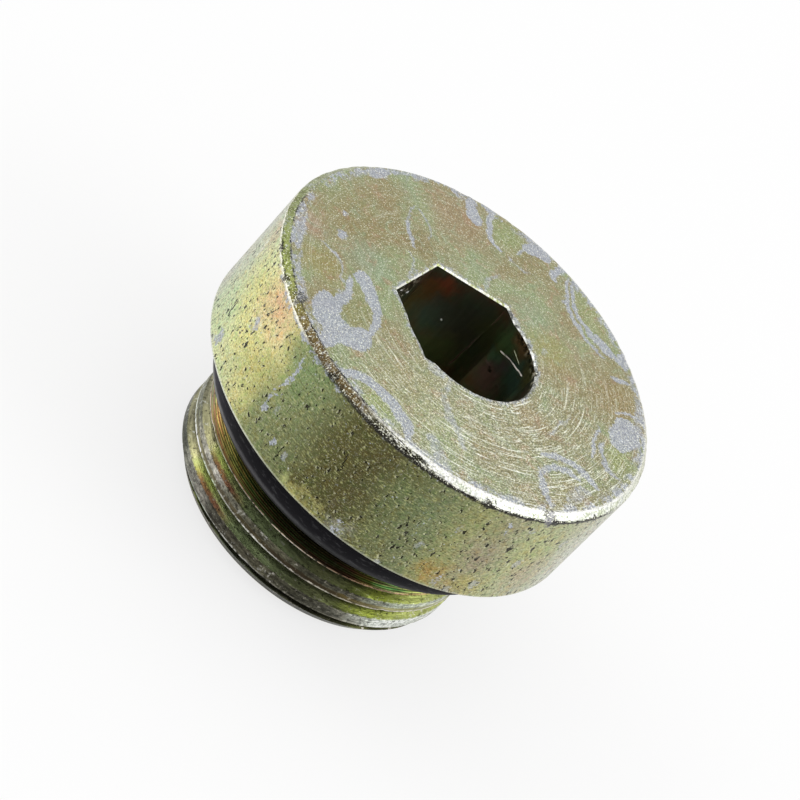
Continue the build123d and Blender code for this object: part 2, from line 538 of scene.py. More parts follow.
sideScrapes = {                 # on the unrolled side: x and height, then as the worn marks below
    "hook": (-8.5, 13.2, 3.1, 0.12, 0, 27, 0.95),
    "hookLow": (-4.7, 11.1, 0.9, 0.11, 168, 52, 0.8),
    "spotHigh": (-5.75, 11.9, 0.12, 0.16, 0, 115, 0.8),
    "spotLow": (-5.55, 10.5, 0.14, 0.20, 0, 115, 0.8),
    "spotWest": (-3.85, 9.8, 0.14, 0.20, 0, 115, 0.8),
    "spotEast": (8.0, 9.5, 0.10, 0.15, 0, 115, 0.45),
    "patchWest": (-11.4, 9.2, 0.25, 0.35, 0, 115, 0.8),
    "patchHigh": (-9.7, 12.2, 0.30, 0.28, 0, 115, 0.6),
    "patchFront": (1.6, 9.0, 0.30, 0.32, 0, 115, 0.5),
    "patchEast": (8.6, 13.9, 0.60, 0.16, 20, 60, 0.5),
}

sideCuts = {                    # on the unrolled side: both ends, half width in mm
    "long": ((-3.15, 10.2), (-3.08, 9.1), 0.035),
    "shortHigh": ((-0.45, 12.9), (-0.15, 11.9), 0.03),
    "west": ((-9.0, 14.3), (-9.4, 13.2), 0.03),
    "low": ((-12.2, 11.2), (-12.0, 10.2), 0.05),
    "east": ((4.1, 12.2), (4.4, 11.6), 0.04),
}

wornMarks = {                   # x, y, radius, half width in mm, facing and spread in degrees, strength
    "blotchBody": (-5.4, -7.1, 1.3, 0.91, -94, 115, 1.00),
    "blotchTail": (-2.8, -8.9, 2.5, 0.59, -173, 26, 1.00),
    "blotchUpper": (-8.3, -6.8, 4.4, 0.24, 22, 33, 1.00),
    "blotchLower": (-25.5, -8.0, 19.4, 0.30, 6, 6, 1.00),
    "blotchLobe": (-15.4, -15.2, 15.1, 0.52, 49, 5, 1.00),
    "hookOuter": (9.4, -4.9, 2.7, 0.24, 112, 46, 1.00),
    "hookInner": (9.4, -4.7, 1.8, 0.23, 139, 50, 0.80),
    "hookRight": (11.4, -2.7, 4.6, 0.21, -136, 18, 0.90),
    "hookHaze": (11.5, -4.5, 1.8, 0.45, 175, 41, 0.50),
    "topPatch": (7.5, 3.2, 2.2, 0.91, 0, 37, 1.00),
    "topTail": (22.6, 4.3, 14.4, 0.14, -166, 6, 0.90),
    "topArc": (10.8, 1.3, 1.7, 0.17, -132, 50, 0.80),
    "topRim": (10.0, 3.8, 1.6, 0.16, 119, 44, 0.80),
    "topEdge": (-23.1, -9.9, 36.2, 0.28, 25, 3, 0.60),
    "leftArcOuter": (5.7, 11.7, 4.0, 0.16, -129, 46, 0.90),
    "leftArcInner": (6.0, 12.3, 4.1, 0.16, -124, 46, 1.00),
    "leftArcPatch": (2.9, -7.0, 15.8, 0.30, 79, 4, 0.90),
    "leftPatch": (5.6, 8.0, 1.7, 0.49, 30, 24, 1.00),
    "smallPatch": (6.4, 8.9, 2.1, 0.21, -58, 18, 1.00),
    "edgePatchA": (2.3, 10.7, 1.4, 0.26, 180, 35, 0.90),
    "edgePatchB": (5.7, 3.6, 9.7, 0.52, 131, 6, 1.00),
    "edgeArc": (-2.1, 9.8, 0.9, 0.14, 0, 44, 0.80),
    "edgeLoop": (-2.0, 10.1, 1.7, 0.23, -148, 59, 1.00),
    "lowerLeft": (-15.3, -0.5, 14.4, 0.45, 43, 4, 1.00),
    "loopA": (-7.5, 3.6, 2.2, 0.12, 44, 37, 0.60),
    "loopB": (-3.3, 6.1, 4.2, 0.17, -137, 15, 0.80),
    "loopC": (-2.7, 5.4, 4.5, 0.12, -172, 12, 0.60),
    "loopD": (-6.3, 0.3, 1.7, 0.12, 25, 41, 0.60),
    "sickle": (-1.2, -12.6, 2.8, 0.42, 88, 62, 1.00),
    "hazeA": (7.2, -1.6, 7.5, 0.31, -131, 14, 0.50),
    "hazeB": (5.5, -3.9, 4.8, 0.24, -155, 18, 0.45),
    "hazeC": (4.1, -8.1, 2.5, 0.49, -126, 26, 0.50),
    "hazeD": (-0.4, -3.7, 1.2, 0.35, -75, 26, 0.50),
    "dotA": (-9.2, -1.5, 0.6, 0.30, -7, 43, 0.80),
    "dotB": (-9.8, 0.0, 0.5, 0.16, 4, 39, 0.70),
    "dotC": (-3.8, 7.5, 8.1, 0.22, -26, 2.5, 0.45),
    "dotD": (0.5, 5.3, 2.0, 0.19, 177, 33, 0.50),
    "dotE": (-1.4, 11.2, 2.8, 0.17, -77, 19, 0.50),
    "loopE": (-8.6, -4.8, 1.5, 0.14, 61, 60, 0.60),
    "loopF": (-5.5, -4.8, 3.9, 0.16, -148, 23, 0.60),
    "rimPatchA": (-6.4, 3.9, 3.8, 0.35, 155, 14, 0.80),
    "rimPatchB": (-5.8, 4.9, 4.0, 0.21, 135, 16, 0.60),
    "rimPatchC": (-1.9, -1.2, 8.9, 0.24, -161, 11, 0.70),
    "tearApex": (-6.5, -3.35, 0.25, 0.24, 0, 115, 1.00),
    "blotchArm": (-6.9, -5.2, 0.50, 0.22, 20, 100, 0.60),
    "hubStreak": (34.8, -2.5, 28.2, 0.12, 176, 3, 0.60),
}


def startHead(name):             # noises, rim and chamfer that the top and the side of the head share
    finish = headFinish
    material, add = newMaterial(name)
    at = measurePlace(add)
    place, z, radius, around, degrees = at["place"], at["z"], at["radius"], at["around"], at["degrees"]
    wander = add("TexNoise", {"Vector": place, "Scale": 0.8, "Detail": 2.0}, out="Color")
    wander = add("VectorMath SUBTRACT", [wander, (0.5, 0.5, 0.5)])
    ragged = add("TexNoise", {"Vector": place, "Scale": 5.0, "Detail": 3.0, "Roughness": 0.6}, out="Color")
    ragged = add("VectorMath SUBTRACT", [ragged, (0.5, 0.5, 0.5)])
    bent = add("VectorMath MULTIPLY_ADD", [wander, (0.9, 0.9, 0.9), place])
    torn = add("VectorMath MULTIPLY_ADD", [ragged, (0.42, 0.42, 0.42), bent])
    grain = add("TexNoise", {"Vector": place, "Scale": 8.0, "Detail": 3.0, "Roughness": 0.75})
    speck = add("TexNoise", {"Vector": place, "Scale": 13.0, "Detail": 1.0})
    jitter = add("SeparateXYZ", [ragged])
    patchy = add("TexNoise", {"Vector": place, "Scale": 1.3, "Detail": 4.0, "Roughness": 0.7})
    holes = add("MapRange", [patchy, 0.42, 0.54])
    grit = add("Math SUBTRACT", [grain, 0.5])
    thin = add("TexNoise", {"Vector": place, "Scale": 2.4, "Detail": 3.0, "Roughness": 0.7})
    thin = add("Math SUBTRACT", [thin, 0.5])
    lilac = add("ValToRGB", [speck], stops=[(0.34, finish["wornDark"]), (0.5, finish["worn"]),
                                            (0.66, "#c6cad2")])

    # the rim: a coordinate that runs out over the top edge, down the chamfer and down the side
    run = add("Math SUBTRACT", [radius, z])
    run = add("Math ADD", [run, plug["headTop"] - plug["headRadius"] + plug["topChamfer"]])
    rimRun = add("Math MULTIPLY_ADD", [jitter, 0.3, run])
    drift = add("TexNoise", {"Vector": place, "Scale": 0.5, "Detail": 4.0, "Roughness": 0.6})
    drift = add("Math SUBTRACT", [drift, 0.5])
    turned = add("Math MULTIPLY_ADD", [drift, 20.0, degrees])
    share = add("MapRange", [turned, -180.0, 180.0])

    # chamfer and its edges, with a painted highlight over its right-hand part
    chamfer = add("ValToRGB", [share], stops=byBearing(finish["chamferFilmAndHighlight"]))
    second = add("ValToRGB", [share], stops=byBearing(finish["chamferSecond"]))
    rimWave = addSweep(add, around, 12.0, run, 3.5)
    scuff = add("TexNoise", {"Vector": rimWave, "Scale": 1.5, "Detail": 3.0, "Roughness": 0.7})
    chamfer = addLayer(add, chamfer, second, scuff, 0.52, 0.4, 0.5)
    flake = add("TexNoise", {"Vector": place, "Scale": 2.0, "Detail": 4.0, "Roughness": 0.65})
    chamfer = addLayer(add, chamfer, lilac, flake, 0.57, 0.61, 0.4)
    chamfer = addLayer(add, chamfer, second, flake, 0.46, 0.41, 0.7)

    # the torn part of the chamfer at the front: black and white chips
    tornPart = add("ValToRGB", [share], stops=byBearing(finish["chamferTorn"]))
    tornPart = add("SeparateColor", [tornPart])
    across = add("MapRange", [tornPart, 0.0, 1.0, 0.7, 0.16])
    across = add("Math MULTIPLY_ADD", [jitter, 0.7, across])
    outside = add("Math SUBTRACT", [run, across])
    outside = add("MapRange", [outside, -0.04, 0.04])
    chipTone = add("ValToRGB", [scuff], stops=[(0.42, "#1d1c19"), (0.49, "#3f3d30"), (0.535, "#77765a"),
                                               (0.57, "#f0f0e8")])
    outside = add("Math MULTIPLY", [outside, tornPart])
    chamfer = add("Mix", {0: outside, 6: chamfer, 7: chipTone}, out=2, data_type="RGBA")
    at.update({"ragged": ragged, "torn": torn, "grain": grain, "speck": speck, "jitter": jitter,
               "holes": holes, "grit": grit, "thin": thin, "lilac": lilac, "run": run, "rimRun": rimRun,
               "share": share, "flake": flake, "scuff": scuff, "chamfer": chamfer})
    return material, add, at


def addRim(add, at, inner, outer):        # the chamfer between two colours, with painted highlight lines on its edges, dark torn lines and nicks
    onChamfer = add("MapRange", [at["rimRun"], -0.03, 0.03])
    colour = add("Mix", {0: onChamfer, 6: inner, 7: at["chamfer"]}, out=2, data_type="RGBA")
    offChamfer = add("MapRange", [at["rimRun"], 0.71, 0.77])
    colour = add("Mix", {0: offChamfer, 6: colour, 7: outer}, out=2, data_type="RGBA")
    for line in rimLines.values():
        band = addBand(add, at["rimRun"], line["run"], line["half"] * 1.4, line["half"] * 0.6)
        where = add("ValToRGB", [at["share"]], stops=byBearing(line["where"]))
        where = add("SeparateColor", [where])
        piece = add("MapRange", [at["scuff"], line["gaps"], line["gaps"] + 0.08])
        band = add("Math MULTIPLY", [band, where])
        band = add("Math MULTIPLY", [band, piece])
        colour = add("Mix", {0: band, 6: colour, 7: line["colour"]}, out=2, data_type="RGBA")

    for bearing, outwards, size, tone in rimNicks.values():
        spot = math.radians(bearing)
        far = plug["headRadius"] - plug["topChamfer"] * (1 - outwards)
        spot = (far * math.sin(spot), -far * math.cos(spot), plug["headTop"] - plug["topChamfer"] * outwards)
        notch = add("VectorMath MULTIPLY_ADD", [at["ragged"], (1.1, 1.1, 1.1), at["place"]])
        notch = add("VectorMath DISTANCE", [notch, spot], out=1)
        colour = addLayer(add, colour, tone, notch, size, size * 0.8, 0.9)
    return colour


def finishHead(add, at, colour, coarse, pits):
    shade = add("Math MULTIPLY", [at["grit"], coarse])
    shade = add("Math ADD", [shade, 1.01])
    colour = add("VectorMath SCALE", {0: colour, 3: shade})
    onRim = addBand(add, at["run"], plug["topChamfer"], 0.7, 0.4, 0.0, 1.6)
    height = add("Math MULTIPLY", [pits, -0.6])
    height = add("Math MULTIPLY_ADD", [at["grain"], 0.3, height])
    height = add("Math MULTIPLY_ADD", [at["scuff"], onRim, height])
    addSurface(add, colour, 1.0, 0.4, height, 0.7, 0.05 * mm)


def buildTopMaterial():
    # yellow-passivated zinc on faced steel: olive film with worn lilac zinc and fine tool marks
    finish = headFinish
    material, add, at = startHead("yellowZincFaced")
    place, radius, around = at["place"], at["radius"], at["around"]
    torn, jitter, holes, grit, thin = at["torn"], at["jitter"], at["holes"], at["grit"], at["thin"]
    lilac, rimRun, flake = at["lilac"], at["rimRun"], at["flake"]

    # film on the top face
    cloud = add("TexNoise", {"Vector": place, "Scale": 0.26, "Detail": 5.0, "Roughness": 0.65,
                             "Distortion": 0.6})
    film = add("ValToRGB", [cloud], stops=finish["topFilm"])
    for x, y, size, colour, strength in filmPatches.values():
        gap = add("VectorMath DISTANCE", [torn, (x, y, plug["headTop"])], out=1)
        film = addLayer(add, film, colour, gap, size * 1.3, size * 0.5, strength)
    tint = add("TexNoise", {"Vector": place, "Scale": 0.9, "Detail": 4.0, "Roughness": 0.75,
                            "Distortion": 0.8})
    film = addLayer(add, film, "#ad8a70", tint, 0.54, 0.66, 0.5)
    film = addLayer(add, film, "#8ba482", tint, 0.45, 0.34, 0.4)

    # facing tool marks: thin broken arcs round the axis, with a painted highlight that makes them brightest
    # towards the lit right-hand side
    lit = add("VectorMath DOT_PRODUCT", [around, (0.72, -0.69, 0)], out=1)
    lit = add("MapRange", [lit, 0.0, 1.0])
    for stretch, density, low, high, most in finish["toolMarks"]:
        swept = addSweep(add, around, stretch, radius, density)
        tracks = add("TexNoise", {"Vector": swept, "Scale": 1.0, "Detail": 2.0, "Roughness": 0.7})
        amount = add("MapRange", [lit, 0.0, 1.0, finish["toolLeast"], most])
        bright = add("MapRange", [tracks, low, high])
        bright = add("Math MULTIPLY", [bright, amount])
        film = add("Mix", {0: bright, 6: film, 7: finish["tracks"]}, out=2, data_type="RGBA")
        dim = add("MapRange", [tracks, 0.42, 0.34, 0.0, 0.45])
        dim = add("Math MULTIPLY", [dim, amount])
        film = add("Mix", {0: dim, 6: film, 7: "#6b6748"}, out=2, data_type="RGBA")

    # worn marks where the film is rubbed to bare zinc
    flatTorn = add("VectorMath MULTIPLY", [torn, (1, 1, 0)])
    worn = addMarks(add, flatTorn, wornMarks, 1.05, 0.0)
    rubbed = add("MapRange", [rimRun, -0.85, -0.15, 0.0, 0.9])
    rubbed = add("Math MULTIPLY", [rubbed, holes])
    worn = add("Math MAXIMUM", [worn, rubbed])
    worn = add("Math MULTIPLY_ADD", [thin, 1.0, worn])
    worn = add("Math MULTIPLY_ADD", [grit, 0.6, worn])
    topColour = addLayer(add, film, lilac, worn, 0.25, 0.75, 0.88)
    # film on the side with its painted reflection band
    sideColour = add("ValToRGB", [at["share"]], stops=byBearing(finish["sideFilmAndReflection"]))
    colour = addRim(add, at, topColour, sideColour)

    # mouth of the socket: a painted highlight along the broken edge of the hexagon's upper-left sides, ragged
    # burr round the drilled part
    hexGap = -99.0
    for side in range(6):
        facing = math.radians(plug["hexTurn"] + 30 + 60 * side)
        flat = add("VectorMath DOT_PRODUCT", [place, (math.cos(facing), math.sin(facing), 0)], out=1)
        flat = add("Math SUBTRACT", [flat, plug["hexCentre"][0] * math.cos(facing)])
        hexGap = add("Math MAXIMUM", [flat, hexGap])
    hexGap = add("Math SUBTRACT", [hexGap, plug["hexApothem"]])
    flat = add("VectorMath MULTIPLY", [place, (1, 1, 0)])
    drillGap = add("VectorMath DISTANCE", [flat, (*plug["drillCentre"], 0)], out=1)
    drillGap = add("Math SUBTRACT", [drillGap, plug["drillRadius"]])
    mouthGap = add("Math MINIMUM", [hexGap, drillGap])
    mouthRun = add("Math MULTIPLY_ADD", [jitter, 0.16, mouthGap])
    cleanSide = add("VectorMath DOT_PRODUCT", [around, (-0.82, 0.57, 0)], out=1)
    clean = add("MapRange", [cleanSide, 0.47, 0.52])
    straight = add("VectorMath DOT_PRODUCT", [around, (-0.42, 0.91, 0)], out=1)
    straight = add("MapRange", [straight, 0.83, 0.88, 0.0, 0.03])
    spill = add("Math MULTIPLY_ADD", [thin, 1.5, mouthGap])
    spill = add("Math MULTIPLY_ADD", [jitter, 0.4, spill])
    colour = addLayer(add, colour, lilac, spill, 0.3, 0.1, 0.8)
    # painted highlight along the clean side of the mouth
    edge = add("Math SUBTRACT", [mouthRun, straight])
    edge = add("MapRange", [edge, 0.105, 0.065])
    edge = add("Math MULTIPLY", [edge, clean])
    edgeHighlightTone = add("ValToRGB", [thin], stops=[(0.0, "#f7f7f0"), (0.03, "#eeefd6"), (0.09, "#b4bd84")])
    colour = add("Mix", {0: edge, 6: colour, 7: edgeHighlightTone}, out=2, data_type="RGBA")
    rough = add("Math SUBTRACT", [1.0, clean])
    burr = add("Math MULTIPLY_ADD", [jitter, 0.35, mouthGap])
    burr = add("MapRange", [burr, 0.14, 0.08, 0.0, 0.85])
    burr = add("Math MULTIPLY", [burr, rough])
    burrTone = add("ValToRGB", [flake], stops=[(0.42, "#45453f"), (0.49, "#9b9d97"), (0.62, "#e9eae6")])
    colour = add("Mix", {0: burr, 6: colour, 7: burrTone}, out=2, data_type="RGBA")
    crack = add("Math MULTIPLY_ADD", [jitter, 0.5, mouthGap])
    crack = addBand(add, crack, 0.17, 0.035, 0.015, 0.0, 0.8)
    parted = add("MapRange", [thin, 0.02, 0.06])
    crack = add("Math MULTIPLY", [crack, rough])
    crack = add("Math MULTIPLY", [crack, parted])
    colour = add("Mix", {0: crack, 6: colour, 7: "#3a3a30"}, out=2, data_type="RGBA")

    # painted glints of the plating grain, a little stronger on the lit side
    bright = add("Math MULTIPLY_ADD", [lit, 0.05, at["speck"]])
    colour = addLayer(add, colour, finish["sparkle"], bright, 0.6, 0.7, 0.85)
    # grain contrast painted stronger towards the lit right-hand side
    coarse = add("MapRange", [lit, 0.0, 1.0, 1.6, 3.2])
    finishHead(add, at, colour, coarse, 0.0)
    return material


def buildSideMaterial():
    # yellow-passivated zinc on drawn bar: film that turns from gold to olive, with black pits and dashes
    finish = headFinish
    material, add, at = startHead("yellowZincDrawn")
    place, z, degrees, ragged, jitter = at["place"], at["z"], at["degrees"], at["ragged"], at["jitter"]
    holes, thin, lilac, rimRun, share = at["holes"], at["thin"], at["lilac"], at["rimRun"], at["share"]
    # film on the side with its painted reflection band
    sideColour = add("ValToRGB", [share], stops=byBearing(finish["sideFilmAndReflection"]))
    loose = add("TexNoise", {"Vector": place, "Scale": 1.3, "Detail": 5.0, "Roughness": 0.75}, out="Color")
    loose = add("VectorMath SUBTRACT", [loose, (0.5, 0.5, 0.5)])
    loose = add("VectorMath MULTIPLY_ADD", [loose, (3.6, 3.6, 3.6), place])
    for bearing, height, size, colour, strength in sidePatches.values():
        spot = math.radians(bearing)
        spot = (plug["headRadius"] * math.sin(spot), -plug["headRadius"] * math.cos(spot), height)
        gap = add("VectorMath DISTANCE", [loose, spot], out=1)
        sideColour = addLayer(add, sideColour, colour, gap, size * 1.6, size * 0.2, strength)
    mottle = add("TexNoise", {"Vector": place, "Scale": 2.2, "Detail": 5.0, "Roughness": 0.75})
    green = add("MapRange", [mottle, 0.5, 0.66, 0.0, 0.6])
    greener = add("Mix", {0: 1.0, 6: sideColour, 7: "#cdf0cc"}, out=2, data_type="RGBA",
                  blend_type="MULTIPLY")
    sideColour = add("Mix", {0: green, 6: sideColour, 7: greener}, out=2, data_type="RGBA")
    warm = add("MapRange", [mottle, 0.48, 0.34, 0.0, 0.6])
    warmer = add("Mix", {0: 1.0, 6: sideColour, 7: "#ffe6b4"}, out=2, data_type="RGBA", blend_type="MULTIPLY")
    sideColour = add("Mix", {0: warm, 6: sideColour, 7: warmer}, out=2, data_type="RGBA")

    # fine dashes of the drawn bar, along the turning direction
    flatter = add("VectorMath MULTIPLY", [place, (1, 1, 2.4)])
    dashes = add("TexNoise", {"Vector": flatter, "Scale": 4.6, "Detail": 2.0, "Roughness": 0.6})
    sideColour = addLayer(add, sideColour, "#b9bb80", dashes, 0.56, 0.68, 0.6)
    sideColour = addLayer(add, sideColour, "#4a4a2c", dashes, 0.44, 0.32, 0.7)

    # pits in the drawn bar, torn at their edges, each with a painted highlight beside it, offset down and to
    # one side
    pits, pitHighlights = 0.0, 0.0
    crooked = add("VectorMath MULTIPLY_ADD", [ragged, (0.38, 0.38, 0.38), place])
    turnedSide = add("Math SUBTRACT", [degrees, 2.0])
    turnedSide = add("Math ABSOLUTE", [turnedSide])
    fewer = add("MapRange", [turnedSide, 15.0, 42.0, 0.76])
    for scale, size, power, shape in ((1.1, 0.20, 3.0, (1, 1, 0.45)), (2.2, 0.29, 2.2, (1, 1, 0.45)),
                                      (3.6, 0.36, 1.7, (1, 1, 0.5)), (5.5, 0.38, 1.5, (1, 1, 0.5))):
        for shift in (0.0, 0.06):
            moved = add("VectorMath ADD", [crooked, (shift, 0, shift)])
            moved = add("VectorMath MULTIPLY", [moved, shape])
            cell = add("TexVoronoi", {"Vector": moved, "Scale": scale, "Randomness": 1.0})
            luck = add("SeparateColor", [cell.node.outputs["Color"]])
            limit = add("Math POWER", [luck, power])
            limit = add("Math MULTIPLY", [limit, size])
            limit = add("Math MULTIPLY", [limit, fewer])
            hole = add("Math SUBTRACT", [limit, cell])
            hole = add("Math MULTIPLY", [hole, 20.0], use_clamp=True)
            if shift:
                pitHighlights = add("Math MAXIMUM", [hole, pitHighlights])
            else:
                pits = add("Math MAXIMUM", [hole, pits])
    halo = add("VectorMath MULTIPLY", [crooked, (1, 1, 0.6)])
    halo = add("TexVoronoi", {"Vector": halo, "Scale": 1.1, "Randomness": 1.0})
    luck = add("SeparateColor", [halo.node.outputs["Color"]])
    luck = add("MapRange", [luck, 0.82, 0.95, 0.0, 0.5])
    halo = add("Math MULTIPLY_ADD", [jitter, 0.5, halo])
    halo = add("MapRange", [halo, 0.3, 0.22])
    halo = add("Math MULTIPLY", [halo, luck])
    sideColour = add("Mix", {0: halo, 6: sideColour, 7: lilac}, out=2, data_type="RGBA")
    chamferFoot = plug["headTop"] - plug["topChamfer"]
    onSide = add("MapRange", [z, chamferFoot + 0.01, chamferFoot - 0.05])
    pits = add("Math MULTIPLY", [pits, onSide])
    # painted highlight beside each pit
    pitHighlights = add("Math MULTIPLY", [pitHighlights, 0.36])
    sideColour = add("Mix", {0: pitHighlights, 6: sideColour, 7: "#e9e8c4"}, out=2, data_type="RGBA")
    pitShade = add("Math MULTIPLY", [pits, 0.95])
    sideColour = add("Mix", {0: pitShade, 6: sideColour, 7: finish["pit"]}, out=2, data_type="RGBA")

    # scrapes and cuts on the side, laid out on the unrolled surface
    unrolled = add("Math MULTIPLY", [degrees, math.radians(plug["headRadius"])])
    unrolled = add("CombineXYZ", [unrolled, z])
    shifted = add("VectorMath MULTIPLY_ADD", [ragged, (0.45, 0.45, 0), unrolled])
    low = add("MapRange", [rimRun, 1.25, 0.85, 0.0, 0.8])
    low = add("Math MULTIPLY", [low, holes])
    aside = add("Math ADD", [degrees, 33.0])
    aside = add("Math ABSOLUTE", [aside])
    aside = add("MapRange", [aside, 26.0, 12.0, 0.25])
    scraped = add("Math MULTIPLY", [low, aside])
    scraped = addMarks(add, shifted, sideScrapes, 1.0, scraped)
    scraped = add("Math MULTIPLY_ADD", [thin, 2.2, scraped])
    scraped = add("Math MULTIPLY_ADD", [at["grit"], 1.6, scraped])
    sideColour = addLayer(add, sideColour, lilac, scraped, 0.45, 0.65, 0.85)
    for start, end, half in sideCuts.values():
        cut = addSegmentGap(add, shifted, (*start, 0), (*end, 0))
        sideColour = addLayer(add, sideColour, finish["pit"], cut, half * 1.4, half * 0.7)

    # painted reflection of the floor as a light line along the lower edge of the head, strongest on the left
    lowEdgeReflection = add("Math MULTIPLY_ADD", [jitter, 0.08, z])
    lowEdgeReflection = add("MapRange", [lowEdgeReflection, plug["headUnderside"] + 0.17, plug["headUnderside"] + 0.11, 0.0, 0.9])
    leftward = add("MapRange", [degrees, -10.0, -35.0, 0.3])
    lowEdgeReflection = add("Math MULTIPLY", [lowEdgeReflection, leftward])
    sideColour = add("Mix", {0: lowEdgeReflection, 6: sideColour, 7: "#dfe2d4"}, out=2, data_type="RGBA")
    colour = addRim(add, at, lilac, sideColour)
    # painted glints of the grain, stronger towards the left
    shineMost = add("MapRange", [degrees, -15.0, -42.0, 0.12, 0.45])
    shine = add("MapRange", [at["speck"], 0.58, 0.68, 0.0, shineMost])
    colour = add("Mix", {0: shine, 6: colour, 7: finish["sparkle"]}, out=2, data_type="RGBA")
    # grain contrast lower across the painted dark reflection band at the front
    coarse = add("MapRange", [turnedSide, 20.0, 50.0, 1.1, 2.3])
    finishHead(add, at, colour, coarse, pits)
    return material


shankFinish = {
    # colours by degrees from the front: the film's colours with painted shade from the head across the front,
    # from about -25 to 35 degrees; edge is the painted highlight on the crest edges
    "flank": [(-180, "#b9b68c"), (-100, "#96967a"), (-66, "#87846a"), (-55, "#a9a680"), (-47, "#d6d29e"),
              (-36, "#c8da74"), (-27, "#b8c47e"), (-15, "#98a878"), (-4, "#96a678"), (8, "#849068"),
              (20, "#757a56"), (34, "#6c7444"), (45, "#8a953e"), (60, "#98a05c"), (180, "#b9b68c")],
    "flankBand": "#a05a50",
    "crest": [(-180, "#8f8e80"), (-90, "#6c6e58"), (-57, "#64654c"), (-45, "#b4b1a4"), (-34, "#98948c"),
              (-24, "#646256"), (-12, "#565446"), (0, "#4c4a3c"), (14, "#3e3d32"), (28, "#3e3d33"),
              (37, "#565448"), (45, "#868c7c"), (54, "#a8b09c"), (100, "#a3a496"), (180, "#8f8e80")],
    "crestLow": [(-180, "#8a8262"), (-65, "#6c6d4e"), (-45, "#908a6a"), (-34, "#6f6754"), (-24, "#665e4a"),
                 (-14, "#4a4430"), (0, "#40392b"), (15, "#332b1f"), (28, "#342d1d"), (37, "#544a2c"),
                 (46, "#948e60"), (60, "#9a9b68"), (180, "#8a8262")],
    "crestLast": [(-180, "#8f8e80"), (-90, "#5a5c4c"), (-57, "#484a3c"), (-45, "#8b8a7e"), (-34, "#78756d"),
                  (-24, "#4c4a41"), (-12, "#423f35"), (0, "#4c4a3c"), (14, "#3e3d32"), (28, "#45443b"),
                  (37, "#6c6b60"), (45, "#c0c5ba"), (54, "#d4d9d0"), (100, "#a3a496"), (180, "#8f8e80")],
    "edge": [(-180, "#c4c2b2"), (-60, "#eaeee6"), (-45, "#f4f4f0"), (-35, "#cfdfc2"), (-25, "#b8b8ae"),
             (-8, "#d0d0c8"), (6, "#cecbc4"), (17, "#c4bcae"), (26, "#a29f92"), (38, "#c8c0ac"),
             (50, "#e2dcd4"), (180, "#c4c2b2")],
    "cone": [(-180, "#8c8858"), (-75, "#a8b28c"), (-62, "#a4a684"), (-53, "#a0946c"), (-45, "#8e7c58"),
             (-36, "#786844"), (-27, "#5c5434"), (-18, "#40462a"), (-8, "#26281a"), (15, "#222219"),
             (28, "#2c281c"), (37, "#35421f"), (45, "#547650"), (52, "#808c62"), (80, "#8c8c60"),
             (180, "#8c8858")],
    "end": "#2e2b26",
    "ringPitch": 0.085,
}


